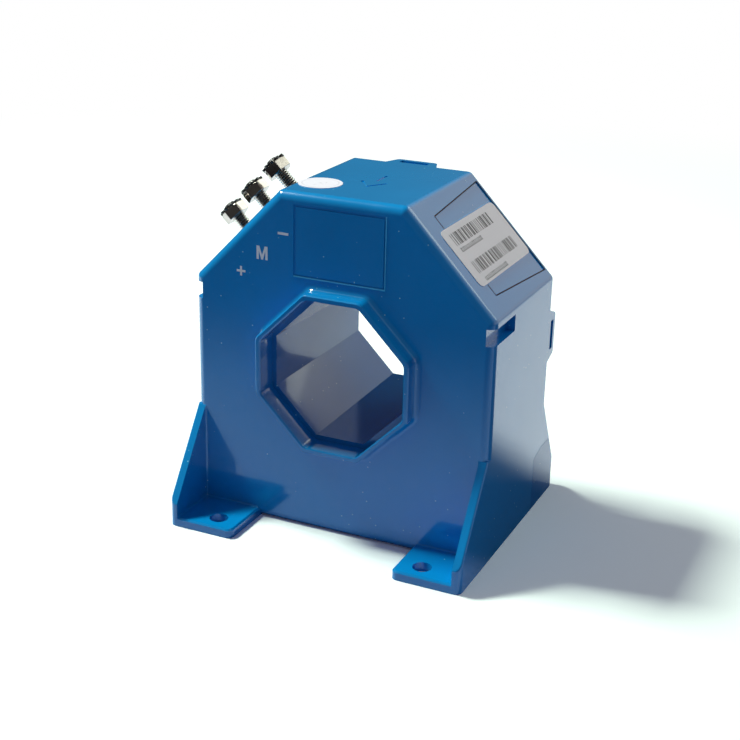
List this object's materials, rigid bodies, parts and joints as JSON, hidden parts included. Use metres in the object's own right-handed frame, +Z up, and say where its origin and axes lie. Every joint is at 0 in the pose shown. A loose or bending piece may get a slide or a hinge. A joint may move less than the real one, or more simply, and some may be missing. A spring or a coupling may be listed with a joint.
{
  "type": "current transducer",
  "caption": "Blue moulded housing with an octagonal busbar opening, screw-down feet, threaded stud terminals on one slope and a snap-in rear cover.",
  "frame": {"origin": "centre of the four mounting holes, on the plane of the feet's undersides", "axes": "+X to the right as seen from the front face with the collar, +Y to the back, where the snap-in cover is, +Z up from the base"},
  "size_m": [0.0967, 0.0792, 0.1048],
  "materials": {
    "case_plastic": "glossy moulded blue polycarbonate",
    "cover_plastic": "glossy moulded blue polycarbonate, slightly darker",
    "plated_steel": "bright nickel-plated steel",
    "spring_steel": "dull plated spring steel",
    "strap_brass": "bare stamped brass",
    "core_iron": "oxidised laminated soft iron",
    "former_plastic": "natural glass-filled nylon",
    "winding_copper": "enamelled copper wire",
    "board_laminate": "green solder mask on glass-epoxy laminate",
    "chip_plastic": "black moulded epoxy",
    "capacitor_can": "sleeved aluminium can",
    "resistor_ceramic": "glazed ceramic chip",
    "label_paper": "satin printed label",
    "sticker_paper": "plain white paper"
  },
  "bodies": {
    "root": {"housing": "case_plastic", "rear_cover": "cover_plastic", "terminal_stud_1": "plated_steel", "terminal_stud_2": "plated_steel", "terminal_stud_3": "plated_steel", "terminal_nut_1": "plated_steel", "terminal_nut_2": "plated_steel", "terminal_nut_3": "plated_steel", "lock_washer_1": "spring_steel", "lock_washer_2": "spring_steel", "lock_washer_3": "spring_steel", "flat_washer_1": "plated_steel", "flat_washer_2": "plated_steel", "flat_washer_3": "plated_steel", "contact_strap_1": "strap_brass", "contact_strap_2": "strap_brass", "contact_strap_3": "strap_brass", "magnetic_core": "core_iron", "gap_spacer": "former_plastic", "hall_sensor": "chip_plastic", "coil_former_left": "former_plastic", "coil_former_right": "former_plastic", "secondary_coil_left": "winding_copper", "secondary_coil_right": "winding_copper", "circuit_board": "board_laminate", "board_screws": "plated_steel", "amplifier_chip": "chip_plastic", "power_transistor_left": "chip_plastic", "power_transistor_right": "chip_plastic", "capacitor_left": "capacitor_can", "capacitor_right": "capacitor_can", "resistor_left": "resistor_ceramic", "resistor_right": "resistor_ceramic", "barcode_label": "label_paper", "round_sticker": "sticker_paper"}
  },
  "joints": []
}
